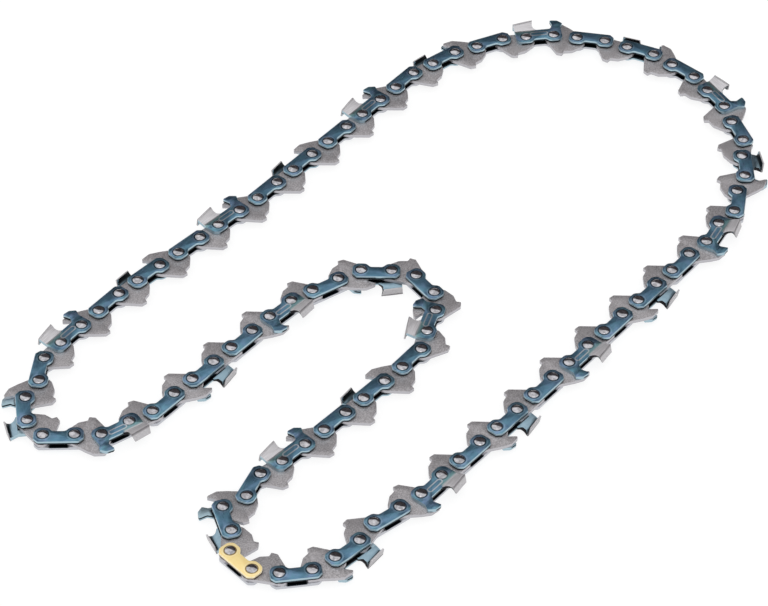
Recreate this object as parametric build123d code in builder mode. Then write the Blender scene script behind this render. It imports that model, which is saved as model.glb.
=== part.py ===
"""A closed loop of saw chain, lying on its side as a spare part out of its box.

Row frame: millimetres, +Z up, the two long strands along X, floor at Z = 0, origin under the middle.
Link frame: X along the travel, Y to the cutting side, Z up, origin midway between the link's two rivets.
"""

import os
from math import atan2, cos, degrees, hypot, radians, sin, tan

from build123d import *

# Spacing of the rivets
PITCH = 9.525
DRIVE_SPAN = 8.73
STRAP_SPAN = 2 * PITCH - DRIVE_SPAN

# Plate thicknesses, from the middle of the chain outwards
DRIVE_THICKNESS = 1.3
SIDE_CLEARANCE = 0.05
STRAP_THICKNESS = 1.3

# Tie strap: straight edge on the cutting side, a lobe round each rivet on the other
STRAP_END = 3.05
STRAP_TOP = 3.4
STRAP_LOBE = 3.1
STRAP_WAIST = 1.5
STRAP_CHAMFER = 1.5

# Drive link: hooked tang on the bar side, a fin on the links in front of a cutter
LINK_END = 2.95
LINK_TOP = 3.2
LINK_CHAMFER = 2.1
TANG_DEPTH = 8.8
FIN_HEIGHT = 7.7

# Cutter: side plate flared outwards, top plate folded over the chain, depth gauge in front
CUTTER_HEEL = 3.7
FLARE_ANGLE = 23.3
CORNER_OVERHANG = 0.4
CORNER_HEIGHT = 6.15
CORNER_FLARE = 1.45
TOP_PLATE_LENGTH = 7.4
TOP_PLATE_WIDTH = 3.4
TOP_PLATE_THICKNESS = 1.1
TOP_PLATE_RISE = 8.4
TOP_PLATE_LEAN = 13.0
FILING_ANGLE = 18.0
GULLET_REACH = 1.0
GAUGE_HEIGHT = 8.1
GAUGE_LENGTH = 4.8

# Rivet: a peened head on each outer face
HEAD_DIAMETER = 3.8
HEAD_HEIGHT = 0.6
HEAD_SIDES = 8

# Where the rivets lie, in pitches, by number along the travel. Those left out are evenly between.
LAY = {
    1: (-14.35, -4.15), 2: (-13.65, -3.5), 3: (-13.1, -2.65), 4: (-12.2, -2.85),
    5: (-11.25, -2.55), 6: (-10.3, -2.7), 8: (-8.3, -2.8), 13: (-3.2, -2.85),
    14: (-2.4, -2.3), 15: (-1.4, -1.95), 16: (-0.65, -1.25), 17: (-0.45, -0.15),
    18: (-0.9, 0.65), 19: (-1.55, 1.5), 20: (-2.4, 1.8), 21: (-3.45, 2.1),
    22: (-4.35, 2.35), 23: (-5.45, 2.35), 29: (-11.45, 2.25), 30: (-12.3, 2.5),
    31: (-13.4, 2.8), 32: (-14.0, 3.5), 33: (-14.7, 4.3), 34: (-14.55, 5.2),
    35: (-13.85, 6.0), 36: (-13.0, 6.25), 37: (-12.1, 6.9), 38: (-11.2, 7.0),
    41: (-8.1, 7.2), 48: (-1.15, 6.9), 57: (7.85, 7.2), 59: (9.8, 6.8),
    61: (11.6, 5.95), 63: (13.1, 4.6), 65: (14.1, 2.9), 67: (14.7, 1.0),
    69: (14.65, -1.05), 71: (14.0, -2.95), 73: (12.9, -4.6), 75: (11.4, -5.8),
    77: (9.55, -6.65), 79: (7.6, -6.9), 84: (2.7, -7.0), 90: (-3.25, -7.15),
    95: (-8.35, -7.2), 97: (-10.3, -6.9), 98: (-11.2, -7.0), 99: (-12.3, -6.9),
    100: (-13.15, -6.7), 101: (-14.0, -6.0), 102: (-14.45, -5.2),
}  # fmt: skip

RIVET_COUNT = max(LAY)
LINK_COUNT = RIVET_COUNT // 2
CUTTER_EVERY = 4
SETTLING_ROUNDS = 4000

# Heights above the middle of the chain
STRAP_INSIDE = DRIVE_THICKNESS / 2 + SIDE_CLEARANCE
STRAP_OUTSIDE = STRAP_INSIDE + STRAP_THICKNESS
CORNER_OUTSIDE = STRAP_OUTSIDE + CORNER_FLARE

half_drive = DRIVE_SPAN / 2
half_strap = STRAP_SPAN / 2
corner_rear = -half_strap - CUTTER_HEEL - CORNER_OVERHANG
corner_front = corner_rear + TOP_PLATE_LENGTH
flare = radians(FLARE_ANGLE)


def lay_rivets():
    """The rivet centres, as laid, drawn together until every link has its true length."""
    listed = sorted(LAY)
    points = []
    for first, last in zip(listed, listed[1:]):
        (x0, y0), (x1, y1) = LAY[first], LAY[last]
        for step in range(last - first):
            share = step / (last - first)
            points.append([PITCH * (x0 + share * (x1 - x0)), PITCH * (y0 + share * (y1 - y0))])
    points.append([PITCH * value for value in LAY[listed[-1]]])
    for _ in range(SETTLING_ROUNDS):
        for i, here in enumerate(points):
            there = points[(i + 1) % RIVET_COUNT]
            span = DRIVE_SPAN if i % 2 == 0 else STRAP_SPAN
            dx, dy = there[0] - here[0], there[1] - here[1]
            excess = (hypot(dx, dy) - span) / hypot(dx, dy) / 2
            here[0] += excess * dx
            here[1] += excess * dy
            there[0] -= excess * dx
            there[1] -= excess * dy
    return points


def station(here, there):
    """The middle and the heading of the link between two rivets."""
    heading = degrees(atan2(there[1] - here[1], there[0] - here[0]))
    return (here[0] + there[0]) / 2, (here[1] + there[1]) / 2, heading


def strap_outline(rear_end):
    """Lower edge of a strap or cutter, from its front end round to its rear end."""
    return [
        (half_strap + STRAP_END, STRAP_TOP - STRAP_CHAMFER),
        (half_strap + STRAP_END, STRAP_CHAMFER - STRAP_LOBE),
        (half_strap + STRAP_LOBE - STRAP_CHAMFER, -STRAP_LOBE),
        (half_strap - STRAP_LOBE + STRAP_CHAMFER, -STRAP_LOBE),
        (half_strap - STRAP_END, -STRAP_WAIST),
        (STRAP_END - half_strap, -STRAP_WAIST),
        (STRAP_LOBE - STRAP_CHAMFER - half_strap, -STRAP_LOBE),
        (STRAP_CHAMFER - rear_end - half_strap, -STRAP_LOBE),
        (-half_strap - rear_end, STRAP_CHAMFER - STRAP_LOBE),
    ]


def tie_outline():
    """A tie strap: the lower edge closed by a straight upper edge with cut corners."""
    return strap_outline(STRAP_END) + [
        (-half_strap - STRAP_END, STRAP_TOP - STRAP_CHAMFER),
        (STRAP_CHAMFER - STRAP_END - half_strap, STRAP_TOP),
        (half_strap + STRAP_END - STRAP_CHAMFER, STRAP_TOP),
    ]


def cutter_outline():
    """A cutter's flat body, with the depth gauge standing over the front rivet on a waist."""
    return strap_outline(CUTTER_HEEL) + [
        (-half_strap - CUTTER_HEEL, STRAP_TOP),
        (half_strap - 0.19 * GAUGE_LENGTH, STRAP_TOP),
        (half_strap + 0.04 * GAUGE_LENGTH, 0.64 * GAUGE_HEIGHT),
        (half_strap - 0.08 * GAUGE_LENGTH, 0.97 * GAUGE_HEIGHT),
        (half_strap + 0.04 * GAUGE_LENGTH, GAUGE_HEIGHT),
        (half_strap + 0.5 * GAUGE_LENGTH, 0.955 * GAUGE_HEIGHT),
        (half_strap + 0.86 * GAUGE_LENGTH, 0.73 * GAUGE_HEIGHT),
        (half_strap + 0.62 * GAUGE_LENGTH, 0.5 * GAUGE_HEIGHT),
    ]


def up_flare(height):
    """How far up the flared side plate a height in the link frame is."""
    return (height - STRAP_TOP) / cos(flare)


def side_outline():
    """A cutter's side plate, flat on its flare: seat in the body, gullet, corner and heel."""
    seat = STRAP_THICKNESS * sin(flare)
    crest = up_flare(CORNER_HEIGHT + TOP_PLATE_LENGTH * tan(radians(TOP_PLATE_RISE)))
    return [
        (-half_strap - CUTTER_HEEL, -seat),
        (corner_front + GULLET_REACH, -seat),
        (corner_front + GULLET_REACH, 0),
        (corner_front - 0.1 * GULLET_REACH, 0.2 * crest),
        (corner_front - 0.35 * GULLET_REACH, 0.5 * crest),
        (corner_front, crest),
        (corner_rear, up_flare(CORNER_HEIGHT)),
    ]


def top_outline(length):
    """A cutter's top plate, flat on its own plane, from the corner inwards, filed to an angle in front."""
    return [
        (0, 0),
        (length, 0),
        (length - TOP_PLATE_WIDTH * tan(radians(FILING_ANGLE)), TOP_PLATE_WIDTH),
        (0, TOP_PLATE_WIDTH),
    ]


def tang_outline():
    """A drive link from its front shoulder round the hooked tang to its rear shoulder."""
    return [
        (half_drive + LINK_END, LINK_TOP - LINK_CHAMFER),
        (half_drive + LINK_END, -0.17 * TANG_DEPTH),
        (half_drive + 0.66 * LINK_END, -0.43 * TANG_DEPTH),
        (0.8 * half_drive, -0.73 * TANG_DEPTH),
        (0.14 * half_drive, -0.82 * TANG_DEPTH),
        (0.05 * half_drive, -TANG_DEPTH),
        (-0.43 * half_drive, -0.97 * TANG_DEPTH),
        (-half_drive - 0.66 * LINK_END, -0.33 * TANG_DEPTH),
        (-half_drive - LINK_END, -0.13 * TANG_DEPTH),
        (-half_drive - LINK_END, LINK_TOP - LINK_CHAMFER),
        (LINK_CHAMFER - LINK_END - half_drive, LINK_TOP),
    ]


def plain_outline():
    """A drive link with a flat top."""
    return tang_outline() + [(half_drive + LINK_END - LINK_CHAMFER, LINK_TOP)]


def bumper_outline():
    """A drive link whose fin leans back towards the cutter and slopes away in front."""
    return tang_outline() + [
        (-0.9 * half_drive, 0.56 * FIN_HEIGHT),
        (-1.44 * half_drive, 0.9 * FIN_HEIGHT),
        (-1.3 * half_drive, 0.98 * FIN_HEIGHT),
        (-0.55 * half_drive, FIN_HEIGHT),
        (0.12 * half_drive, 0.79 * FIN_HEIGHT),
        (0.98 * half_drive, 0.46 * FIN_HEIGHT),
    ]


def on_row(outline, place):
    """The corners of a link's outline in the row frame."""
    x, y, heading = place
    c, s = cos(radians(heading)), sin(radians(heading))
    return [(x + c * u - s * v, y + s * u + c * v) for u, v in outline]


# Where every link lies
rivets_laid = lay_rivets()
drive_places = [station(rivets_laid[2 * k], rivets_laid[2 * k + 1]) for k in range(LINK_COUNT)]
strap_places = [
    station(rivets_laid[2 * k + 1], rivets_laid[(2 * k + 2) % RIVET_COUNT]) for k in range(LINK_COUNT)
]
cutter_spots = range(LINK_COUNT - 1)
left_spots = [k for k in cutter_spots if k % CUTTER_EVERY == 0]
right_spots = [k for k in cutter_spots if k % CUTTER_EVERY == CUTTER_EVERY // 2]
bumper_spots = [k + 1 for k in left_spots + right_spots]
gilt_spot = LINK_COUNT - 1

# The planes of a cutter's side plate, and of its top plate along the corner where they meet
lean = radians(TOP_PLATE_LEAN)
flare_plane = Plane(
    origin=(0, STRAP_TOP, STRAP_OUTSIDE), x_dir=(1, 0, 0), z_dir=(0, -sin(flare), cos(flare))
)
front_end, rear_end = (flare_plane.from_local_coords(Vector(*corner)) for corner in side_outline()[-2:])
along_corner = front_end - rear_end
top_plane = Plane(
    origin=rear_end, x_dir=along_corner, z_dir=along_corner.cross(Vector(0, sin(lean), -cos(lean)))
)
top_corners = [top_plane.from_local_coords(Vector(*corner)) for corner in top_outline(along_corner.length)]

# The middle of the ground that the whole loop covers
covered = []
for k, place in enumerate(drive_places):
    covered += on_row(bumper_outline() if k in bumper_spots else plain_outline(), place)
for k in left_spots + right_spots:
    covered += on_row(cutter_outline() + [(c.X, c.Y) for c in top_corners], strap_places[k])
middle_x = (min(x for x, y in covered) + max(x for x, y in covered)) / 2
middle_y = (min(y for x, y in covered) + max(y for x, y in covered)) / 2


def at(place):
    """The place of a link in the row frame, with the lower cutters' corners on the floor."""
    x, y, heading = place
    return Location((x - middle_x, y - middle_y, CORNER_OUTSIDE), (0, 0, heading))


# One of each kind of piece, in the link frame
with BuildPart() as drive_link:
    with BuildSketch(Plane.XY.offset(-DRIVE_THICKNESS / 2)):
        with BuildLine():
            Polyline(*plain_outline(), close=True)
        make_face()
    extrude(amount=DRIVE_THICKNESS)

with BuildPart() as bumper_link:
    with BuildSketch(Plane.XY.offset(-DRIVE_THICKNESS / 2)):
        with BuildLine():
            Polyline(*bumper_outline(), close=True)
        make_face()
    extrude(amount=DRIVE_THICKNESS)

with BuildPart() as tie_strap:
    with BuildSketch(Plane.XY.offset(STRAP_INSIDE)):
        with BuildLine():
            Polyline(*tie_outline(), close=True)
        make_face()
    extrude(amount=STRAP_THICKNESS)

with BuildPart() as top_plate:
    with BuildSketch(top_plane):
        with BuildLine():
            Polyline(*top_outline(along_corner.length), close=True)
        make_face()
    extrude(amount=-TOP_PLATE_THICKNESS)

with BuildPart() as side_plate:
    with BuildSketch(flare_plane):
        with BuildLine():
            Polyline(*side_outline(), close=True)
        make_face()
    extrude(amount=-STRAP_THICKNESS * cos(flare))
    split(bisect_by=top_plane, keep=Keep.BOTTOM)

with BuildPart() as cutter:
    with BuildSketch(Plane.XY.offset(STRAP_INSIDE)):
        with BuildLine():
            Polyline(*cutter_outline(), close=True)
        make_face()
    extrude(amount=STRAP_THICKNESS)
    add(side_plate.part)
    add(top_plate.part)
    split(bisect_by=Plane.XY.offset(CORNER_OUTSIDE), keep=Keep.BOTTOM)

with BuildPart() as rivet_head:
    with BuildSketch(Plane.XY.offset(STRAP_OUTSIDE)) as head_rim:
        RegularPolygon(HEAD_DIAMETER / 2, HEAD_SIDES)
    loft(sections=[head_rim.sketch.face(), Vertex(0, 0, STRAP_OUTSIDE + HEAD_HEIGHT)])

with BuildPart() as lower_tie_strap:
    mirror(tie_strap.part, about=Plane.XY)

with BuildPart() as lower_cutter:
    mirror(cutter.part, about=Plane.XY)

with BuildPart() as lower_rivet_head:
    mirror(rivet_head.part, about=Plane.XY)

# The nodes
os.makedirs("parts", exist_ok=True)

for k, place in enumerate(drive_places):
    kind = "bumper_drive_link" if k in bumper_spots else "drive_link"
    with BuildPart() as link:
        with Locations(at(place)):
            add(bumper_link.part if k in bumper_spots else drive_link.part)
    link.part.label = f"{kind}_{k + 1:02d}"
    export_step(link.part, f"parts/{link.part.label}.step")

with BuildPart() as upper_tie_straps:
    with Locations(*[at(p) for k, p in enumerate(strap_places) if k not in right_spots and k != gilt_spot]):
        add(tie_strap.part)
upper_tie_straps.part.label = "upper_tie_straps"
export_step(upper_tie_straps.part, "parts/upper_tie_straps.step")

with BuildPart() as lower_tie_straps:
    with Locations(*[at(p) for k, p in enumerate(strap_places) if k not in left_spots]):
        add(lower_tie_strap.part)
lower_tie_straps.part.label = "lower_tie_straps"
export_step(lower_tie_straps.part, "parts/lower_tie_straps.step")

with BuildPart() as gilt_tie_strap:
    with Locations(at(strap_places[gilt_spot])):
        add(tie_strap.part)
gilt_tie_strap.part.label = "gilt_tie_strap"
export_step(gilt_tie_strap.part, "parts/gilt_tie_strap.step")

with BuildPart() as right_cutters:
    with Locations(*[at(strap_places[k]) for k in right_spots]):
        add(cutter.part)
right_cutters.part.label = "right_cutters"
export_step(right_cutters.part, "parts/right_cutters.step")

with BuildPart() as left_cutters:
    with Locations(*[at(strap_places[k]) for k in left_spots]):
        add(lower_cutter.part)
left_cutters.part.label = "left_cutters"
export_step(left_cutters.part, "parts/left_cutters.step")

with BuildPart() as rivets:
    with Locations(*[at((x, y, 0)) for x, y in rivets_laid]):
        add(rivet_head.part)
        add(lower_rivet_head.part)
rivets.part.label = "rivets"
export_step(rivets.part, "parts/rivets.step")
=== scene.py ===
"""The saw chain loop dressed for its portrait: rounded plates, domed rivets, blued and plated steel.

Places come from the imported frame. Shapes are in the link frame, in millimetres: X along the travel,
Y to the cutting side, Z up, origin midway between the link's two rivets.
"""

from math import atan2, cos, pi, radians, sin, tan
from typing import NamedTuple

import bmesh
import bpy
from mathutils import Matrix, Vector


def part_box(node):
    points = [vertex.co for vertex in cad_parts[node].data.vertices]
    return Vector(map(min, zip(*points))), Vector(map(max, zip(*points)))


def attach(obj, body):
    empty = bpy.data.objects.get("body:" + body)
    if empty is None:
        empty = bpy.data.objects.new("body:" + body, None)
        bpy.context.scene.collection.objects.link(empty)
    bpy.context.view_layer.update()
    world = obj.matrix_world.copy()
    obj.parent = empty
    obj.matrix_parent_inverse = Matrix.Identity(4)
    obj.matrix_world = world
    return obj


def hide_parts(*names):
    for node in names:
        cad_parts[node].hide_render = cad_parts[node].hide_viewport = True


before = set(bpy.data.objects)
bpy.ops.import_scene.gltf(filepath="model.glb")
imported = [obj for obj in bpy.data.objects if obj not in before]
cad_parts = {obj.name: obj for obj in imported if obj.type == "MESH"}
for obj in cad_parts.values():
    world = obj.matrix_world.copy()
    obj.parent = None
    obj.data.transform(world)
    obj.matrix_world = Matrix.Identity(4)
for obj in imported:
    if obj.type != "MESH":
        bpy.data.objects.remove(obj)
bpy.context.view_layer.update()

MM = 0.001

# Camera, fitted to the rivets in the photograph: place in millimetres, angles in degrees
CAMERA_X = -593.8
CAMERA_Y = -514.6
CAMERA_OVER_RIVETS = 745.0
CAMERA_HEADING = 41.92
CAMERA_DOWN = 44.194
CAMERA_ROLL = -0.871
SENSOR = 36.0
FOCAL_PIXELS = 3177.8
PHOTO_WIDTH = 768
CLIP_END = 10.0

# Reading the frame: how level the tops of the rivet heads are, and to how many digits they are told apart
LEVEL_SLACK = 0.01
PLACE_DIGITS = 6

# Which strap places hold a cutter
CUTTER_EVERY = 4

# Tie strap
STRAP_END = 3.05
STRAP_TOP = 3.4
STRAP_LOBE = 3.1
STRAP_WAIST = 1.5
STRAP_CHAMFER = 1.5
END_ROUND = 1.0
LOBE_ROUND = 2.1
WAIST_ROUND = 1.4

# Drive link
LINK_END = 2.95
LINK_TOP = 3.2
LINK_CHAMFER = 1.2
SHOULDER_ROUND = 1.0
CREST_ROUND = 0.8
TANG_DEPTH = 8.8
FIN_HEIGHT = 7.7

# Hooked tang, front to rear: shares of half the rivet spacing, of the end and of the depth, and the radius
TANG_CORNERS = (
    (1.0, 1.0, -0.17, 1.2),
    (1.0, 0.66, -0.43, 1.0),
    (0.8, 0.0, -0.73, 1.0),
    (0.14, 0.0, -0.82, 0.5),
    (0.05, 0.0, -1.0, 0.25),
    (-0.43, 0.0, -0.97, 0.5),
    (-1.0, -0.66, -0.33, 1.0),
    (-1.0, -1.0, -0.13, 1.0),
)

# Fin of a bumper link, rear to front: shares of half the rivet spacing and of the height, and the radius
FIN_CORNERS = (
    (-0.9, 0.56, 1.0),
    (-1.44, 0.9, 0.25),
    (-1.3, 0.98, 0.3),
    (-0.55, 1.0, 0.8),
    (0.12, 0.79, 2.0),
    (0.98, 0.46, 1.5),
)

# Cutter
CUTTER_HEEL = 3.7
FLARE_ANGLE = 23.3
CORNER_OVERHANG = 0.4
CORNER_HEIGHT = 6.15
TOP_PLATE_LENGTH = 7.4
TOP_PLATE_WIDTH = 3.4
TOP_PLATE_RISE = 8.4
TOP_PLATE_LEAN = 13.0
FILING_ANGLE = 18.0
GULLET_REACH = 1.0
GULLET_BEVEL = 0.5
FREE_EDGE = 0.55
FOLD_DEPTH = 2.3
FOLD_HEART = 0.25
UNDERCUT = 22.0
GAUGE_HEIGHT = 8.1
GAUGE_LENGTH = 4.8
GAUGE_FOOT = 0.19
GAUGE_FOOT_ROUND = 1.0
EDGE_ROUND = 0.1

# Gullet of a cutter: shares of its reach behind the corner and of the crest's height, and the radius
GULLET_CORNERS = (
    (0.1, 0.2, 1.2),
    (0.35, 0.5, 1.5),
)

# Depth gauge, rear to front: shares of its length past the rivet and of its height, and the radius
GAUGE_CORNERS = (
    (0.04, 0.64, 0.8),
    (-0.08, 0.97, 0.15),
    (0.04, 1.0, 0.3),
    (0.5, 0.955, 1.0),
    (0.86, 0.73, 0.5),
    (0.62, 0.5, 1.0),
)

# Rivet head: a steep rim and a low dome on it, in several kinds that are struck off centre
HEAD_RADIUS = 1.8
HEAD_HEIGHT = 0.6
HEAD_RIM = 0.18
HEAD_DOME = 0.95
HEAD_STEPS = 8
HEAD_SIDES = 32
HEAD_LEAN = 0.55
HEAD_KINDS = 7
UPPER_HEAD_STEP = 3
LOWER_HEAD_STEP = 5

# Worked edges
PLATE_BEVEL = 0.25
LINK_BEVEL = 0.12
CORNER_BEVEL = 0.06
HEAD_BEVEL = 0.02
BEVEL_SEGMENTS = 2
BEVEL_PROFILE = 0.6
WORN_ANGLE = 50.0
SHADING_ANGLE = 35.0
SMOOTH_FACE_CORNERS = 4
ARC_STEPS = 5
ARC_SHARE = 0.45
SHORTEST_ARC = 0.02
FOLD_STEPS = 8

# Colours, as light that is sent back
BLUE_DEEP = (0.06, 0.125, 0.19)
BLUE_SLATE = (0.215, 0.32, 0.5)
BLUE_TEAL = (0.17, 0.36, 0.455)
BLUE_LIGHT = (0.34, 0.5, 0.63)
BLUE_MIDDLE = (0.155, 0.33, 0.48)
INNER_DEEP = (0.22, 0.34, 0.42)
INNER_PALE = (0.36, 0.49, 0.57)
# Painted shade in the hollow inside a cutter's fold
HOLLOW_SHADE = (0.02, 0.026, 0.03)
HEAT_TINT = (0.24, 0.43, 0.42)
CHROME_DULL = (0.49, 0.475, 0.49)
CHROME = (0.62, 0.605, 0.625)
CREASE_DARK = (0.16, 0.15, 0.16)
# Black painted as shade on a cutter's side plate walls and inside its top plate
BLACK_DEEP = (0.012, 0.011, 0.013)
BLACK_PALE = (0.02, 0.019, 0.022)
RIVET_DEEP = (0.33, 0.325, 0.345)
RIVET_PALE = (0.58, 0.57, 0.6)
GREY_DEEP = (0.29, 0.275, 0.285)
GREY_PALE = (0.51, 0.49, 0.505)
EDGE_PALE = (0.56, 0.55, 0.58)
GOLD_DEEP = (0.96, 0.7, 0.27)
GOLD_PALE = (1.0, 0.84, 0.42)
# Gold rim is the cut edge's rim, partly a painted highlight, and the painted highlight ring round the rivets;
# gold dark is painted shade round the rivets and, in part, on the torn band
GOLD_RIM = (1.0, 0.88, 0.6)
GOLD_DARK = (0.1, 0.05, 0.02)
# Rim blue is the bright rim of the cut edges, partly a painted highlight; it is also the painted reflection
# on a cutter's inner gauge, and the plain heel walls
RIM_BLUE = (0.4, 0.54, 0.61)
# Low rim grey is a painted reflection of the white floor on the lower straps' cut edge
LOW_RIM_GREY = (0.55, 0.56, 0.6)
# Ring dark is painted shade: round the rivet heads, and in part on the torn band and inside face of the
# straps
RING_DARK = (0.006, 0.012, 0.018)
STAMP_PALE = (0.6, 0.64, 0.68)

# Finishes
BLUED_METAL = 0.9
BLUED_ROUGHNESS = (0.26, 0.4)
BLUED_BUMP = 0.03
PLATED_METAL = 0.4
PLATED_ROUGHNESS = 0.38
PLATED_BUMP = 0.04
INNER_METAL = 0.9
INNER_ROUGHNESS = 0.3
RIVET_METAL = 0.95
RIVET_ROUGHNESS = 0.14
SHADE_STEEL_METAL = 0.9
SHADE_STEEL_ROUGHNESS = 0.45
LINK_METAL = 0.7
LINK_ROUGHNESS = 0.5
LINK_BUMP = 0.08
GILT_METAL = 0.2
GILT_ROUGHNESS = 0.35
BUMP_STRENGTH = 0.35

# Cut edge of a strap: a bright sheared rim, partly a painted highlight, over a dark torn band that runs on
# over the inside face, partly painted shade, and the blurs between them
RIM_DEPTH = 0.6
# The lower straps' rim reaches deeper: more of their wall is a painted reflection of the floor
LOW_RIM_DEPTH = 0.95
RIM_BLUR = 0.08
FACE_BLUR = (0.01, 0.04)
# How far from a link's middle the torn band and inside face are painted dark as shade, and the blur at its
# end; past it they take the rim colour. The lower straps are painted dark only at the waist, which lies in
# shade under the upper straps
TORN_SHADE_REACH = 10.0
CUTTER_TORN_SHADE_REACH = 7.6
LOW_TORN_SHADE_REACH = 3.6
TORN_SHADE_BLUR = 0.8

# Lighter middle of a blued plate, in shares of half its rivet spacing
MIDDLE_REACH = (0.3, 0.8)
MIDDLE_SHARE = 0.5

# Painted shade close round a rivet head, and a painted highlight ring a little past it, in ring widths past
# the head
RING_WIDTH = 0.3
GAP_SHADE_REACH = (0.6, 1.4)
GAP_SHADE_SHARE = 0.85
# The pale ring is a painted highlight, as if a dished ring round the head caught the light
RING_HIGHLIGHT_AT = 2.2
RING_HIGHLIGHT_BLUR = (0.3, 0.9)
RING_HIGHLIGHT_SHARE = 0.4
GILT_RING_HIGHLIGHT_SHARE = 0.5

# Oblong field stamped into a cutter
STAMP_X = -0.2
STAMP_Y = 1.2
STAMP_LENGTH = 6.4
STAMP_WIDTH = 1.7
STAMP_LINE = (0.13, 0.3)
STAMP_SHARE = 0.9

# Plating and heat tint on a cutter's flat body: its front end in gullet reaches past the corner, its depth
# under the outer face, and how far below the body's top each one starts and is full
PLATING_FRONT = (-0.3, 0.8)
PLATING_DEPTH = (0.3, 0.2)
PLATING_REACH = (1.0, -0.1)
TINT_REACH = (2.6, 0.9)
TINT_SHARE = 0.7
GAUGE_BLUR = 1.0

# Cutter's corner: the crease along it, the plain heel of its side plate, and the painted shade in the hollow
CREASE_BLUR = (0.08, 0.26)
CREASE_SHARE = 0.85
HEEL_BLUR = (0.3, 0.8)
HOLLOW_BLUR = (-0.6, -0.2)

# Ground faces of a drive link, as depths under them
LINK_FACE_BLUR = (0.06, 0.02)

# Light: directions as turn from the camera's heading and height, in degrees
# Reaches are the angles of full and of no effect
SKY_LIGHT = (1.05, 1.05, 1.05)
SKY_DARK = (0.045, 0.034, 0.037)
DARK_WAY = (-16.0, 7.0)
DARK_REACH = (42.5, 50.5)
WINDOW_WAY = (180.0, 50.0)
WINDOW_REACH = (12.0, 22.0)
WINDOW_GAIN = 1.2

# Floor: its own grey, and the white that the camera, reflections and clear things see on it
FLOOR_REACH = 4.0
FLOOR_GREY = (0.2, 0.2, 0.2)
FLOOR_WHITE = (1.0, 1.0, 1.0)
FLOOR_SHOWN = 0.84


# Grain of the metals


class Grain(NamedTuple):
    """Noise on a link: stretch along X, Y and Z, scale, the band of it that shows, and detail."""

    stretch: tuple
    scale: float
    band: tuple = (0.0, 1.0)
    detail: float = 3.0


EVEN = (1.0, 1.0, 1.0)
BLUED_CLOUD = Grain((0.6, 1.0, 1.0), 0.5, (0.3, 0.7))
BLUED_GRAIN = Grain((0.25, 6.0, 2.0), 1.2, (0.55, 0.75))
BLUED_HUE = Grain(EVEN, 0.35, (0.4, 0.6))
PLATED_LINES = Grain((0.15, 5.0, 5.0), 1.5, (0.35, 0.65), 2.0)
METAL_CLOUD = Grain(EVEN, 0.9)
RIVET_BLOWS = Grain(EVEN, 0.8, (0.35, 0.65))
LINK_MOTTLE = Grain(EVEN, 2.5, (0.38, 0.62), 5.0)
LINK_CLOUD = Grain(EVEN, 0.4, (0.3, 0.7))
LINK_STREAKS = Grain((3.0, 0.3, 1.0), 1.2, (0.5, 0.7))
GILT_CLOUD = Grain(EVEN, 0.7)

# How strongly some grains show, and the span of the blued grain that its roughness follows
BLUED_GRAIN_SHARE = 0.35
LINK_STREAK_SHARE = 0.5
LINK_CLOUD_SHARE = 0.3
ROUGHNESS_SPAN = (0.2, 0.8)

# Steps in tone from copy to copy and by the length of the name, and how far a tone shifts the noise
TONE_STEP = 0.618
NAME_STEP = 0.1
NOISE_JUMP = 97.0


# Places


def rivet_centres():
    """Tops of the upper rivet heads, in the row frame."""
    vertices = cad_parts["rivets"].data.vertices
    top = max(v.co.z for v in vertices)
    level = [v.co for v in vertices if v.co.z > top - LEVEL_SLACK * MM]
    found = {(round(c.x, PLACE_DIGITS), round(c.y, PLACE_DIGITS)) for c in level}
    return [Vector(p) for p in sorted(found)]


def drive_ends(node, rivets):
    """The rear and the front rivet of a drive link, whose tang lies to the right of its travel."""
    corners = [v.co.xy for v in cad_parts[node].data.vertices]
    middle = sum(corners, Vector((0, 0))) / len(corners)
    one, two = sorted(rivets, key=lambda r: (r - middle).length)[:2]
    along = two - one
    tang_tip = max(corners, key=lambda c: abs(along.cross(c - one)))
    return (one, two) if along.cross(tang_tip - one) < 0 else (two, one)


def place(rear, front):
    """The link frame between two rivets, as a matrix in the row frame."""
    along = front - rear
    middle = (rear + front) / 2
    turn = Matrix.Rotation(atan2(along.y, along.x), 4, "Z")
    return Matrix.Translation((middle.x, middle.y, middle_height * MM)) @ turn


drive_nodes = sorted((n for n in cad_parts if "drive_link" in n), key=lambda n: int(n[-2:]))
strap_low, strap_high = (corner.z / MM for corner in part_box("upper_tie_straps"))
link_low, link_high = (corner.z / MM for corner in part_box(drive_nodes[0]))
middle_height = (link_low + link_high) / 2
strap_inside = strap_low - middle_height
strap_outside = strap_high - middle_height
half_thickness = (link_high - link_low) / 2
corner_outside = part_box("right_cutters")[1].z / MM - middle_height
rivet_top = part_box("rivets")[1].z / MM

rivets = rivet_centres()
ends = [drive_ends(node, rivets) for node in drive_nodes]
drive_places = [place(rear, front) for rear, front in ends]
strap_ends = [(ends[k][1], ends[(k + 1) % len(ends)][0]) for k in range(len(ends))]
strap_places = [place(rear, front) for rear, front in strap_ends]
half_drive = (ends[0][1] - ends[0][0]).length / MM / 2
half_strap = (strap_ends[0][1] - strap_ends[0][0]).length / MM / 2

gilt_spot = len(ends) - 1
left_spots = [k for k in range(gilt_spot) if k % CUTTER_EVERY == 0]
right_spots = [k for k in range(gilt_spot) if k % CUTTER_EVERY == CUTTER_EVERY // 2]
MIRROR = Matrix.Scale(-1, 4, (0, 0, 1))

corner_rear = -half_strap - CUTTER_HEEL - CORNER_OVERHANG
corner_front = corner_rear + TOP_PLATE_LENGTH
flare = radians(FLARE_ANGLE)
side_depth = (strap_outside - strap_inside) * cos(flare)


# Outlines, as corners with a radius each


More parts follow.
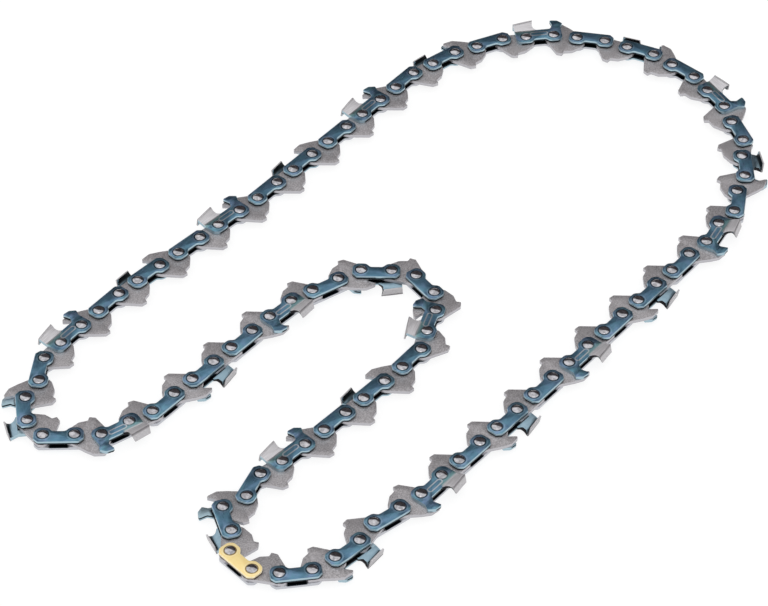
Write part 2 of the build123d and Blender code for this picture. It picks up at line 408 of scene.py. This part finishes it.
def strap_edge(rear_end):
    """Lower edge of a strap or cutter, from its front end round to its rear end."""
    return [
        (half_strap + STRAP_END, STRAP_TOP - STRAP_CHAMFER, END_ROUND),
        (half_strap + STRAP_END, STRAP_CHAMFER - STRAP_LOBE, LOBE_ROUND),
        (half_strap + STRAP_LOBE - STRAP_CHAMFER, -STRAP_LOBE, LOBE_ROUND),
        (half_strap - STRAP_LOBE + STRAP_CHAMFER, -STRAP_LOBE, LOBE_ROUND),
        (half_strap - STRAP_END, -STRAP_WAIST, WAIST_ROUND),
        (STRAP_END - half_strap, -STRAP_WAIST, WAIST_ROUND),
        (STRAP_LOBE - STRAP_CHAMFER - half_strap, -STRAP_LOBE, LOBE_ROUND),
        (STRAP_CHAMFER - rear_end - half_strap, -STRAP_LOBE, LOBE_ROUND),
        (-half_strap - rear_end, STRAP_CHAMFER - STRAP_LOBE, LOBE_ROUND),
    ]


def tie_outline():
    """A tie strap: two lobes with a waist between them, under a straight back."""
    return strap_edge(STRAP_END) + [
        (-half_strap - STRAP_END, STRAP_TOP - STRAP_CHAMFER, END_ROUND),
        (STRAP_CHAMFER - STRAP_END - half_strap, STRAP_TOP, END_ROUND),
        (half_strap + STRAP_END - STRAP_CHAMFER, STRAP_TOP, END_ROUND),
    ]


def cutter_outline():
    """A cutter's flat body, with the depth gauge standing over the front rivet on a waist."""
    back = [
        (-half_strap - CUTTER_HEEL, STRAP_TOP, EDGE_ROUND),
        (half_strap - GAUGE_FOOT * GAUGE_LENGTH, STRAP_TOP, GAUGE_FOOT_ROUND),
    ]
    gauge = [(half_strap + x * GAUGE_LENGTH, y * GAUGE_HEIGHT, radius) for x, y, radius in GAUGE_CORNERS]
    return strap_edge(CUTTER_HEEL) + back + gauge


def up_flare(height):
    """How far up the flared side plate a height in the link frame is."""
    return (height - STRAP_TOP) / cos(flare)


def side_outline(filed=0.0):
    """A cutter's side plate, flat on its flare: seat in the body, gullet filed back, corner and heel."""
    seat = (strap_outside - strap_inside) * sin(flare)
    crest = up_flare(CORNER_HEIGHT + TOP_PLATE_LENGTH * tan(radians(TOP_PLATE_RISE)))
    foot = [
        (-half_strap - CUTTER_HEEL, -seat, 0),
        (corner_front + GULLET_REACH, -seat, 0),
        (corner_front + GULLET_REACH, 0, 0),
    ]
    gullet = [(corner_front - x * GULLET_REACH - filed, y * crest, radius) for x, y, radius in GULLET_CORNERS]
    return foot + gullet + [
        (corner_front - filed, crest, 0),
        (corner_rear, up_flare(CORNER_HEIGHT), 0),
    ]


def top_outline(length):
    """A cutter's top plate, flat on its own plane, from the corner inwards, filed to an angle in front."""
    filed = TOP_PLATE_WIDTH * tan(radians(FILING_ANGLE))
    return [
        (0, 0, 0),
        (length, 0, 0),
        (length - filed, TOP_PLATE_WIDTH, EDGE_ROUND),
        (0, TOP_PLATE_WIDTH, EDGE_ROUND),
    ]


def fold_outline(down, through):
    """Section of the hollow inside a cutter's folded corner, from the free edge round to the side plate.

    Down and through are the ways along the side plate and through it, in the section.
    """
    edge = Vector((TOP_PLATE_WIDTH, -FREE_EDGE))
    seat = FOLD_DEPTH * down + side_depth * through
    heart = FOLD_HEART * FOLD_DEPTH * down + side_depth * through
    points = [seat - side_depth / 2 * through, Vector((FREE_EDGE, -FREE_EDGE / 2)), edge]
    for step in range(1, FOLD_STEPS + 1):
        t = step / FOLD_STEPS
        points.append((1 - t) ** 2 * edge + 2 * t * (1 - t) * heart + t * t * seat)
    return [(p.x, p.y, 0) for p in points]


def tang_edge():
    """A drive link from its front shoulder round the hooked tang to its rear shoulder."""
    tang = []
    for x, end, y, radius in TANG_CORNERS:
        tang.append((x * half_drive + end * LINK_END, y * TANG_DEPTH, radius))
    return [
        (half_drive + LINK_END, LINK_TOP - LINK_CHAMFER, SHOULDER_ROUND),
        *tang,
        (-half_drive - LINK_END, LINK_TOP - LINK_CHAMFER, SHOULDER_ROUND),
        (LINK_CHAMFER - LINK_END - half_drive, LINK_TOP, CREST_ROUND),
    ]


def plain_outline():
    """A drive link with a straight back."""
    return tang_edge() + [(half_drive + LINK_END - LINK_CHAMFER, LINK_TOP, CREST_ROUND)]


def bumper_outline():
    """A drive link whose fin leans back towards the cutter and slopes away in front."""
    return tang_edge() + [(x * half_drive, y * FIN_HEIGHT, radius) for x, y, radius in FIN_CORNERS]


def rounded(corners):
    """The corners of a closed outline turned into arcs of their own radius."""
    points = []
    for i, (x, y, radius) in enumerate(corners):
        here = Vector((x, y))
        before = Vector(corners[i - 1][:2]) - here
        after = Vector(corners[(i + 1) % len(corners)][:2]) - here
        turn = pi - before.angle(after)
        reach = min(radius * tan(turn / 2), ARC_SHARE * before.length, ARC_SHARE * after.length)
        if reach < SHORTEST_ARC:
            points.append(here)
            continue
        start, end = here + reach * before.normalized(), here + reach * after.normalized()
        for step in range(ARC_STEPS + 1):
            t = step / ARC_STEPS
            points.append((1 - t) ** 2 * start + 2 * t * (1 - t) * here + t * t * end)
    return points


def plane(origin, x_way, z_way):
    """A plane in the link frame, as a matrix."""
    x_axis, z_axis = x_way.normalized(), z_way.normalized()
    turn = Matrix((x_axis, z_axis.cross(x_axis), z_axis)).transposed().to_4x4()
    return Matrix.Translation(origin) @ turn


# Meshes of single pieces, in the link frame


def finished(bm, name, bevel):
    """The mesh with its sharp edges worn round, keeping its link coordinates for the grain."""
    bmesh.ops.recalc_face_normals(bm, faces=bm.faces)
    inner = [e for e in bm.edges if len(e.link_faces) == 2]
    bmesh.ops.bevel(
        bm,
        geom=[e for e in inner if e.calc_face_angle() > radians(WORN_ANGLE)],
        offset=bevel,
        segments=BEVEL_SEGMENTS,
        profile=BEVEL_PROFILE,
        affect="EDGES",
        clamp_overlap=True,
    )
    for face in bm.faces:
        face.smooth = len(face.verts) <= SMOOTH_FACE_CORNERS
    mesh = bpy.data.meshes.new(name)
    bm.to_mesh(mesh)
    bm.free()
    link = mesh.attributes.new("link", "FLOAT_VECTOR", "POINT")
    for i, v in enumerate(mesh.vertices):
        link.data[i].vector = v.co
    return mesh


def plate(name, corners, low, high, bevel, on=Matrix(), cuts=(), skins=(0, 0, 0), inner_corners=None):
    """A flat plate on a plane, cut short by others.

    Skins are the materials of its outside, inside and walls. Inner corners give the inside its own outline.
    """
    outside, inside, wall = skins
    bm = bmesh.new()
    lower = [bm.verts.new((p.x, p.y, low)) for p in rounded(inner_corners or corners)]
    upper = [bm.verts.new((p.x, p.y, high)) for p in rounded(corners)]
    bm.faces.new(lower).material_index = inside
    bm.faces.new(upper).material_index = outside
    for i in range(len(upper)):
        bm.faces.new([lower[i - 1], lower[i], upper[i], upper[i - 1]]).material_index = wall
    bmesh.ops.transform(bm, matrix=on, verts=bm.verts)
    for point, way in cuts:
        everything = [*bm.verts, *bm.edges, *bm.faces]
        bmesh.ops.bisect_plane(bm, geom=everything, plane_co=point, plane_no=way, clear_outer=True)
        open_edges = [e for e in bm.edges if e.is_boundary]
        for face in bmesh.ops.holes_fill(bm, edges=open_edges)["faces"]:
            face.material_index = wall
    return finished(bm, name, bevel)


def head(name, lean_way):
    """A peened rivet head: a low dome on a steep rim, struck off centre to one side."""
    bm = bmesh.new()
    dome_height = HEAD_HEIGHT - HEAD_RIM
    off_centre = HEAD_LEAN * Vector((cos(lean_way), sin(lean_way)))
    steps = [(HEAD_RADIUS, 0.0, 0.0)]
    for step in range(HEAD_STEPS):
        share = step / HEAD_STEPS
        radius = HEAD_DOME * HEAD_RADIUS * (1 - share)
        height = HEAD_RIM + dome_height * (1 - (1 - share) ** 2)
        steps.append((radius, height, share))
    rings = []
    for radius, height, share in steps:
        centre = share * off_centre
        ring = []
        for side in range(HEAD_SIDES):
            a = 2 * pi * side / HEAD_SIDES
            spot = (centre.x + radius * cos(a), centre.y + radius * sin(a), strap_outside + height)
            ring.append(bm.verts.new(spot))
        rings.append(ring)
    for lower, upper in zip(rings, rings[1:]):
        for k in range(HEAD_SIDES):
            m = (k + 1) % HEAD_SIDES
            bm.faces.new([lower[k], lower[m], upper[m], upper[k]])
    top = bm.verts.new((*off_centre, strap_outside + HEAD_HEIGHT))
    for k in range(HEAD_SIDES):
        bm.faces.new([rings[-1][k], rings[-1][(k + 1) % HEAD_SIDES], top])
    bm.faces.new(list(reversed(rings[0])))
    return finished(bm, name, HEAD_BEVEL)


# Pieces: copies of the meshes at their places, one object for each node


def piece(name, nodes, copies, materials, first=0):
    """One object from (mesh, matrix) pairs, standing for the nodes.

    First is the number of its first copy, which sets the tone.
    """
    bm = bmesh.new()
    tone = bm.verts.layers.float.new("tone")
    for number, (mesh, matrix) in enumerate(copies, first):
        done = len(bm.verts)
        bm.from_mesh(mesh)
        bm.verts.ensure_lookup_table()
        new = bm.verts[done:]
        grown = matrix @ Matrix.Scale(MM, 4)
        for v in new:
            v.co = grown @ v.co
            v[tone] = (number * TONE_STEP + NAME_STEP * len(name)) % 1
        if matrix.determinant() < 0:
            bmesh.ops.reverse_faces(bm, faces=list({f for v in new for f in v.link_faces}))
    mesh = bpy.data.meshes.new(name)
    bm.to_mesh(mesh)
    bm.free()
    mesh.set_sharp_from_angle(angle=radians(SHADING_ANGLE))
    for material in materials:
        mesh.materials.append(material)
    made = bpy.data.objects.new(name, mesh)
    bpy.context.scene.collection.objects.link(made)
    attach(made, "root")
    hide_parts(*nodes)
    return made


# Materials


class Nodes:
    """Short ways to add and join the nodes of one tree."""

    def __init__(self, tree):
        self.tree = tree

    def join(self, value, socket):
        """Links an output to a socket, or sets a plain value on it."""
        if isinstance(value, bpy.types.NodeSocket):
            self.tree.links.new(value, socket)
        elif socket.type == "RGBA":
            socket.default_value = (*value, 1.0)
        else:
            socket.default_value = value

    def add(self, kind, inputs=None, **settings):
        """A new node with its settings and inputs."""
        node = self.tree.nodes.new(kind)
        for key, value in settings.items():
            setattr(node, key, value)
        for key, value in (inputs or {}).items():
            self.join(value, node.inputs[key])
        return node

    def math(self, operation, a, b=0.0):
        """A calculation on one or two numbers."""
        return self.add("ShaderNodeMath", {0: a, 1: b}, operation=operation).outputs[0]

    def length(self, a, b):
        """The length of a flat vector."""
        squares = [self.math("POWER", part, 2.0) for part in (a, b)]
        return self.math("SQRT", self.math("ADD", *squares))

    def mix(self, share, low, high):
        """A colour between two others."""
        return self.add("ShaderNodeMix", {0: share, 6: low, 7: high}, data_type="RGBA").outputs[2]

    def ramp(self, value, low, high, start=0.0, end=1.0):
        """A smooth step from start to end while the value goes from low to high."""
        inputs = {0: value, 1: low, 2: high, 3: start, 4: end}
        return self.add("ShaderNodeMapRange", inputs, interpolation_type="SMOOTHSTEP").outputs[0]


class Shader(Nodes):
    """A new material."""

    def __init__(self, name):
        self.material = bpy.data.materials.new(name)
        self.material.use_nodes = True
        super().__init__(self.material.node_tree)
        self.skin = self.tree.nodes["Principled BSDF"]

    def set(self, **inputs):
        """Joins values to the inputs of the material's surface."""
        for key, value in inputs.items():
            self.join(value, self.skin.inputs[key.replace("_", " ")])


class ChainShader(Shader):
    """A material of the chain, coloured by place on the link: x, y, z and the vector of them."""

    def __init__(self, name):
        super().__init__(name)
        self.link = self.add("ShaderNodeAttribute", attribute_name="link").outputs["Vector"]
        axes = self.add("ShaderNodeSeparateXYZ", {0: self.link}).outputs
        self.x, self.y, self.z = axes["X"], axes["Y"], axes["Z"]
        self.tone = self.add("ShaderNodeAttribute", attribute_name="tone").outputs["Fac"]

    def noise(self, grain):
        """A grain's noise over the link, shifted by the tone of the copy."""
        scaled = self.add("ShaderNodeMapping", {"Vector": self.link, "Scale": grain.stretch}).outputs[0]
        far = self.math("MULTIPLY", self.tone, NOISE_JUMP)
        shifted = self.add("ShaderNodeVectorMath", {0: scaled, 1: far}, operation="ADD").outputs[0]
        inputs = {"Vector": shifted, "Scale": grain.scale, "Detail": grain.detail}
        return self.add("ShaderNodeTexNoise", inputs).outputs["Fac"]

    def shown(self, grain, most=1.0):
        """How much of a grain shows at a place, from 0 to the most."""
        return self.ramp(self.noise(grain), *grain.band, 0.0, most)

    def bump(self, height, distance):
        """Fine relief, by a distance in millimetres."""
        inputs = {"Height": height, "Strength": BUMP_STRENGTH, "Distance": distance * MM}
        self.set(Normal=self.add("ShaderNodeBump", inputs).outputs[0])


def rivet_rings(shader):
    """Shares of the painted shade close round the rivet heads of a strap, and of the painted highlight ring
    past it.
    """
    out = shader.math("SUBTRACT", shader.math("ABSOLUTE", shader.x), half_strap)
    far = shader.length(out, shader.y)
    near, end = (HEAD_RADIUS + reach * RING_WIDTH for reach in GAP_SHADE_REACH)
    gap_shade = shader.ramp(far, near, end, 1.0, 0.0)
    off = shader.math("ABSOLUTE", shader.math("SUBTRACT", far, HEAD_RADIUS + RING_HIGHLIGHT_AT * RING_WIDTH))
    near, end = (reach * RING_WIDTH for reach in RING_HIGHLIGHT_BLUR)
    return gap_shade, shader.ramp(off, near, end, 1.0, 0.0)


def edge_bands(shader, rim_depth):
    """Shares of the bright shear-cut rim of a strap's cut edge, partly a painted highlight, and of the dark
    fractured band under it and the inside face, partly painted shade.
    """
    near, end = FACE_BLUR
    off_face = shader.ramp(shader.z, strap_outside - end, strap_outside - near, 1.0, 0.0)
    rim_low = strap_outside - rim_depth
    sheared_and_lit = shader.ramp(shader.z, rim_low - RIM_BLUR, rim_low)
    torn_and_shade = shader.math("SUBTRACT", 1.0, sheared_and_lit)
    return shader.math("MULTIPLY", off_face, sheared_and_lit), torn_and_shade


def inner_gauge(shader):
    """1 on the inner face of a cutter's depth gauge, where a pale reflection is painted."""
    near, end = FACE_BLUR
    inside = shader.ramp(shader.z, strap_inside + near, strap_inside + end, 1.0, 0.0)
    return shader.math("MULTIPLY", inside, shader.ramp(shader.y, STRAP_TOP, STRAP_TOP + GAUGE_BLUR))


def stamp_line(shader):
    """1 on the outline of the plain round-ended field stamped between a cutter's rivets."""
    along = shader.math("ABSOLUTE", shader.math("SUBTRACT", shader.x, STAMP_X))
    past = shader.math("SUBTRACT", along, (STAMP_LENGTH - STAMP_WIDTH) / 2)
    past = shader.math("MAXIMUM", past, 0.0)
    far = shader.length(past, shader.math("SUBTRACT", shader.y, STAMP_Y))
    edge = shader.math("ABSOLUTE", shader.math("SUBTRACT", far, STAMP_WIDTH / 2))
    return shader.ramp(edge, *STAMP_LINE, 1.0, 0.0)


def plated_shares(shader):
    """Shares of the heat tint and of the plating, where they run out from the corner over the flat body."""
    near, end = (corner_front + reach * GULLET_REACH for reach in PLATING_FRONT)
    behind = shader.ramp(shader.x, near, end, 1.0, 0.0)
    outside = shader.ramp(shader.z, *(strap_outside - depth for depth in PLATING_DEPTH))
    there = shader.math("MULTIPLY", behind, outside)
    tinted = shader.ramp(shader.y, *(STRAP_TOP - reach for reach in TINT_REACH))
    covered = shader.ramp(shader.y, *(STRAP_TOP - reach for reach in PLATING_REACH))
    return shader.math("MULTIPLY", there, tinted), shader.math("MULTIPLY", there, covered)


def under_corner(shader):
    """How far a point lies towards the cutting side of a cutter's corner line."""
    from_rear = shader.math("SUBTRACT", shader.x, corner_rear)
    rise = shader.math("MULTIPLY", from_rear, tan(radians(TOP_PLATE_RISE)))
    return shader.math("SUBTRACT", shader.math("SUBTRACT", shader.y, rise), CORNER_HEIGHT)


def blued_steel(name, rim_depth=RIM_DEPTH, rim_colour=RIM_BLUE, torn_shade_reach=TORN_SHADE_REACH, cutter=False):
    """Heat-blued plate: satin, drawn out along the link, lighter in the middle, with painted shade close
    round the rivets, a painted highlight ring past them, and a cut edge painted partly as highlight and
    shade.

    A cutter also gets its plating, heat tint, stamped field and a painted reflection on its inner gauge.
    """
    shader = ChainShader(name)
    cloud = shader.shown(BLUED_CLOUD)
    grain = shader.noise(BLUED_GRAIN)
    pale = shader.mix(shader.shown(BLUED_HUE), BLUE_SLATE, BLUE_TEAL)
    colour = shader.mix(cloud, BLUE_DEEP, pale)
    drawn = shader.ramp(grain, *BLUED_GRAIN.band, 0.0, BLUED_GRAIN_SHARE)
    colour = shader.mix(drawn, colour, BLUE_LIGHT)
    off_middle = shader.math("ABSOLUTE", shader.x)
    near, end = (reach * half_strap for reach in MIDDLE_REACH)
    colour = shader.mix(shader.ramp(off_middle, near, end, MIDDLE_SHARE, 0.0), colour, BLUE_MIDDLE)
    # Painted shade close round each rivet head, and a painted highlight ring a little past it
    gap_shade, ring_highlight = rivet_rings(shader)
    colour = shader.mix(shader.math("MULTIPLY", ring_highlight, RING_HIGHLIGHT_SHARE), colour, BLUE_LIGHT)
    colour = shader.mix(shader.math("MULTIPLY", gap_shade, GAP_SHADE_SHARE), colour, RING_DARK)
    # Cut edge: a bright sheared rim, partly a painted highlight, over a torn band and inside face, partly
    # painted shade, dark within the reach from the middle
    rim, torn_and_shade = edge_bands(shader, rim_depth)
    colour = shader.mix(rim, colour, rim_colour)
    dark = shader.ramp(off_middle, torn_shade_reach - TORN_SHADE_BLUR, torn_shade_reach, 1.0, 0.0)
    colour = shader.mix(torn_and_shade, colour, shader.mix(dark, rim_colour, RING_DARK))
    if cutter:
        tinted, covered = plated_shares(shader)
        colour = shader.mix(shader.math("MULTIPLY", tinted, TINT_SHARE), colour, HEAT_TINT)
        colour = shader.mix(covered, colour, CHROME)
        stamped = shader.math("MULTIPLY", stamp_line(shader), STAMP_SHARE)
        colour = shader.mix(stamped, colour, STAMP_PALE)
        # The inner face of the depth gauge is painted pale as a reflection of the bright sky
        colour = shader.mix(inner_gauge(shader), colour, RIM_BLUE)
    roughness = shader.ramp(grain, *ROUGHNESS_SPAN, *BLUED_ROUGHNESS)
    shader.set(Base_Color=colour, Metallic=BLUED_METAL, Roughness=roughness)
    shader.bump(grain, BLUED_BUMP)
    return shader.material


def plated_steel():
    """Bright plating over the cutting corner, ground in fine lines along it, with a dark crease."""
    shader = ChainShader("plated_steel")
    lines = shader.noise(PLATED_LINES)
    colour = shader.mix(shader.ramp(lines, *PLATED_LINES.band), CHROME_DULL, CHROME)
    off_corner = shader.math("ABSOLUTE", under_corner(shader))
    crease = shader.ramp(off_corner, *CREASE_BLUR, CREASE_SHARE, 0.0)
    colour = shader.mix(crease, colour, CREASE_DARK)
    shader.set(Base_Color=colour, Metallic=PLATED_METAL, Roughness=PLATED_ROUGHNESS)
    shader.bump(lines, PLATED_BUMP)
    return shader.material


def inner_steel():
    """Pale blued steel on the inside of a cutter's side plate."""
    shader = ChainShader("inner_blued_steel")
    colour = shader.mix(shader.noise(METAL_CLOUD), INNER_DEEP, INNER_PALE)
    shader.set(Base_Color=colour, Metallic=INNER_METAL, Roughness=INNER_ROUGHNESS)
    return shader.material


def peened_steel():
    """Rivet heads: bright where the hammer struck, dull beside it."""
    shader = ChainShader("rivet_steel")
    colour = shader.mix(shader.shown(RIVET_BLOWS), RIVET_DEEP, RIVET_PALE)
    shader.set(Base_Color=colour, Metallic=RIVET_METAL, Roughness=RIVET_ROUGHNESS)
    return shader.material


def painted_shade_steel():
    """Walls of a cutter's side plate and inside of its top plate: black painted as shade at the filed gullet,
    plain at the heel.
    """
    shader = ChainShader("painted_shade_steel")
    near, end = (corner_rear + CORNER_OVERHANG + reach for reach in HEEL_BLUR)
    heel = shader.ramp(shader.x, near, end, 1.0, 0.0)
    shade_black = shader.mix(shader.noise(METAL_CLOUD), BLACK_DEEP, BLACK_PALE)
    shader.set(Base_Color=shader.mix(heel, shade_black, RIM_BLUE), Metallic=SHADE_STEEL_METAL, Roughness=SHADE_STEEL_ROUGHNESS)
    return shader.material


def hollow_steel():
    """Blued steel inside a cutter's folded corner, with painted shade towards the free edge."""
    shader = ChainShader("fold_steel")
    dark = shader.ramp(under_corner(shader), *(reach * FOLD_DEPTH for reach in HOLLOW_BLUR))
    blued_inside = shader.mix(shader.noise(METAL_CLOUD), INNER_DEEP, INNER_PALE)
    colour = shader.mix(dark, blued_inside, HOLLOW_SHADE)
    shader.set(Base_Color=colour, Metallic=INNER_METAL, Roughness=INNER_ROUGHNESS)
    return shader.material


def drive_steel():
    """Ground grey steel with a fine tumbled mottle."""
    shader = ChainShader("drive_link_steel")
    mottle = shader.noise(LINK_MOTTLE)
    colour = shader.mix(shader.ramp(mottle, *LINK_MOTTLE.band), GREY_DEEP, GREY_PALE)
    colour = shader.mix(shader.shown(LINK_STREAKS, LINK_STREAK_SHARE), colour, GREY_DEEP)
    colour = shader.mix(shader.shown(LINK_CLOUD, LINK_CLOUD_SHARE), colour, GREY_PALE)
    off_middle = shader.math("ABSOLUTE", shader.z)
    face = shader.ramp(off_middle, *(half_thickness - depth for depth in LINK_FACE_BLUR))
    colour = shader.mix(face, EDGE_PALE, colour)
    shader.set(Base_Color=colour, Metallic=LINK_METAL, Roughness=LINK_ROUGHNESS)
    shader.bump(mottle, LINK_BUMP)
    return shader.material


def gilt():
    """Gold coloured plating, with painted shade close round the rivets, a painted highlight ring past them,
    and on the cut edge a gold rim over a dark fractured band, partly painted highlight and shade.
    """
    shader = ChainShader("gilt_steel")
    colour = shader.mix(shader.noise(GILT_CLOUD), GOLD_DEEP, GOLD_PALE)
    # Painted shade close round each rivet head, and a painted highlight ring a little past it
    gap_shade, ring_highlight = rivet_rings(shader)
    colour = shader.mix(shader.math("MULTIPLY", ring_highlight, GILT_RING_HIGHLIGHT_SHARE), colour, GOLD_RIM)
    colour = shader.mix(shader.math("MULTIPLY", gap_shade, GAP_SHADE_SHARE), colour, GOLD_DARK)
    # Cut edge: a gold sheared rim, partly a painted highlight, over a dark torn band and inside face, partly
    # painted shade
    rim, torn_and_shade = edge_bands(shader, RIM_DEPTH)
    colour = shader.mix(rim, colour, GOLD_RIM)
    colour = shader.mix(torn_and_shade, colour, GOLD_DARK)
    shader.set(Base_Color=colour, Metallic=GILT_METAL, Roughness=GILT_ROUGHNESS)
    return shader.material


# The chain

blued = blued_steel("blued_steel")
# The lower straps' copy: a deeper pale grey rim, painted as a reflection of the floor, and painted shade on
# the torn band only at the waist
low_blued = blued_steel("low_blued_steel", LOW_RIM_DEPTH, LOW_RIM_GREY, LOW_TORN_SHADE_REACH)
link_steel = drive_steel()
gilt_steel = gilt()
rivet_steel = peened_steel()
# Skins of a cutter; the fourth is black painted as shade, the fifth paints shade in the hollow of the fold
cutter_skins = [
    blued_steel("cutter_steel", torn_shade_reach=CUTTER_TORN_SHADE_REACH, cutter=True),
    plated_steel(),
    inner_steel(),
    painted_shade_steel(),
    hollow_steel(),
]
BODY, PLATED, INNER, DARK, FOLD = range(len(cutter_skins))

# Planes of a cutter's flared side plate, of its leaning top plate, and of the section through the fold
lean = radians(TOP_PLATE_LEAN)
flare_way = Vector((0, -sin(flare), cos(flare)))
flare_plane = plane(Vector((0, STRAP_TOP, strap_outside)), Vector((1, 0, 0)), flare_way)
front_end, rear_end = (flare_plane @ Vector((x, y, 0)) for x, y, _ in side_outline()[-2:])
along_corner = front_end - rear_end
top_plane = plane(rear_end, along_corner, along_corner.cross(Vector((0, sin(lean), -cos(lean)))))
across_top, top_way = (top_plane.col[i].xyz for i in (1, 2))
fold_plane = plane(rear_end, across_top, along_corner)
down_side = Vector([-flare_plane.col[1].xyz.dot(way) for way in (across_top, top_way)])
through_side = Vector([-flare_plane.col[2].xyz.dot(way) for way in (across_top, top_way)])

# Cuts through a cutter's corner: the round file's in front, the furthest out that the corner goes,
# and the end of the side plate inside the top plate
filed_across = tan(radians(FILING_ANGLE)) * across_top
filed_way = along_corner.normalized() + filed_across - tan(radians(UNDERCUT)) * top_way
file_cut = (front_end, filed_way.normalized())
outer_cut = (Vector((0, 0, corner_outside)), Vector((0, 0, 1)))
top_cut = (rear_end - FREE_EDGE / 2 * top_way, top_way)

strap_mesh = plate("strap", tie_outline(), strap_inside, strap_outside, PLATE_BEVEL)
plain_mesh = plate("plain_link", plain_outline(), -half_thickness, half_thickness, LINK_BEVEL)
bumper_mesh = plate("bumper_link", bumper_outline(), -half_thickness, half_thickness, LINK_BEVEL)
head_meshes = [head(f"head_{k}", 2 * pi * k / HEAD_KINDS) for k in range(HEAD_KINDS)]
cutter_meshes = [
    plate(
        "cutter_body", cutter_outline(), strap_inside, strap_outside, PLATE_BEVEL,
        skins=(BODY, BODY, BODY),
    ),
    plate(
        "side_plate", side_outline(), -side_depth, 0, CORNER_BEVEL, flare_plane,
        [top_cut, outer_cut], (PLATED, INNER, DARK), side_outline(GULLET_BEVEL),
    ),
    plate(
        "top_plate", top_outline(along_corner.length), -FREE_EDGE, 0, CORNER_BEVEL, top_plane,
        [outer_cut, file_cut], (PLATED, DARK, PLATED),
    ),
    plate(
        "fold", fold_outline(down_side, through_side), CORNER_OVERHANG, along_corner.length,
        CORNER_BEVEL / 2, fold_plane, [file_cut], (PLATED, FOLD, FOLD),
    ),
]

for number, (node, matrix) in enumerate(zip(drive_nodes, drive_places)):
    mesh = bumper_mesh if node.startswith("bumper") else plain_mesh
    piece(f"dressed_{node}", [node], [(mesh, matrix)], [link_steel], number)

upper = [m for k, m in enumerate(strap_places) if k not in right_spots and k != gilt_spot]
lower = [m @ MIRROR for k, m in enumerate(strap_places) if k not in left_spots]
for name, slot, places, material in (
    ("upper_tie_straps", "blued_steel", upper, blued),
    ("lower_tie_straps", "blued_steel", lower, low_blued),
    ("gilt_tie_strap", "gilt_steel", [strap_places[gilt_spot]], gilt_steel),
):
    piece(f"dressed_{name}", [name], [(strap_mesh, m) for m in places], [material])

right = [strap_places[k] for k in right_spots]
left = [strap_places[k] @ MIRROR for k in left_spots]
for name, places in (("right_cutters", right), ("left_cutters", left)):
    copies = [(mesh, m) for m in places for mesh in cutter_meshes]
    piece(f"dressed_{name}", [name], copies, cutter_skins)

heads = []
for number, rivet in enumerate(rivets):
    matrix = Matrix.Translation((rivet.x, rivet.y, middle_height * MM))
    heads.append((head_meshes[UPPER_HEAD_STEP * number % HEAD_KINDS], matrix))
    heads.append((head_meshes[LOWER_HEAD_STEP * number % HEAD_KINDS], matrix @ MIRROR))
piece("dressed_rivets", ["rivets"], heads, [rivet_steel])


# Stage, light and camera


def floor():
    """A white ground that keeps a faint shadow."""
    mesh = bpy.data.meshes.new("floor")
    r = FLOOR_REACH
    mesh.from_pydata([(-r, -r, 0), (r, -r, 0), (r, r, 0), (-r, r, 0)], [], [(0, 1, 2, 3)])
    shader = Shader("floor")
    shader.set(Base_Color=FLOOR_GREY, Roughness=1.0, Specular_IOR_Level=0.0)
    ray = shader.add("ShaderNodeLightPath").outputs
    seen = shader.math("MAXIMUM", ray["Is Camera Ray"], ray["Is Glossy Ray"])
    seen = shader.math("MAXIMUM", seen, ray["Is Transmission Ray"])
    shown = shader.math("MULTIPLY", seen, FLOOR_SHOWN)
    shader.set(Emission_Color=FLOOR_WHITE, Emission_Strength=shown)
    mesh.materials.append(shader.material)
    ground = bpy.data.objects.new("floor", mesh)
    bpy.context.scene.collection.objects.link(ground)


def sky_patch(nodes, way, spot, reach):
    """1 in a round patch of the sky, 0 away from it."""
    turn, height = spot
    azimuth, elevation = radians(CAMERA_HEADING + turn), radians(height)
    target = (cos(azimuth) * cos(elevation), sin(azimuth) * cos(elevation), sin(elevation))
    towards = nodes.add("ShaderNodeVectorMath", {0: way, 1: target}, operation="DOT_PRODUCT")
    full, none = (cos(radians(angle)) for angle in reach)
    return nodes.ramp(towards.outputs["Value"], none, full)


def sky():
    """Bright overhead, a soft window behind the camera, dark and warm low down ahead of it."""
    world = bpy.data.worlds.new("studio")
    bpy.context.scene.world = world
    world.use_nodes = True
    nodes = Nodes(world.node_tree)
    back = world.node_tree.nodes["Background"]
    way = nodes.add("ShaderNodeTexCoord").outputs["Generated"]
    dark = sky_patch(nodes, way, DARK_WAY, DARK_REACH)
    window = sky_patch(nodes, way, WINDOW_WAY, WINDOW_REACH)
    nodes.join(nodes.mix(dark, SKY_LIGHT, SKY_DARK), back.inputs["Color"])
    gained = nodes.math("MULTIPLY", window, WINDOW_GAIN)
    nodes.join(nodes.math("ADD", gained, 1.0), back.inputs["Strength"])


def camera():
    """The camera as it stood for the photograph."""
    data = bpy.data.cameras.new("camera")
    data.sensor_width = SENSOR
    data.lens = FOCAL_PIXELS / PHOTO_WIDTH * SENSOR
    data.clip_end = CLIP_END
    made = bpy.data.objects.new("camera", data)
    bpy.context.scene.collection.objects.link(made)
    heading, down, roll = (radians(v) for v in (CAMERA_HEADING, CAMERA_DOWN, CAMERA_ROLL))
    turn = Matrix.Rotation(heading - pi / 2, 4, "Z") @ Matrix.Rotation(pi / 2 - down, 4, "X")
    spot = Vector((CAMERA_X, CAMERA_Y, rivet_top + CAMERA_OVER_RIVETS)) * MM
    made.matrix_world = Matrix.Translation(spot) @ turn @ Matrix.Rotation(roll, 4, "Z")
    bpy.context.scene.camera = made


floor()
sky()
camera()
bpy.context.scene.view_settings.view_transform = "Standard"
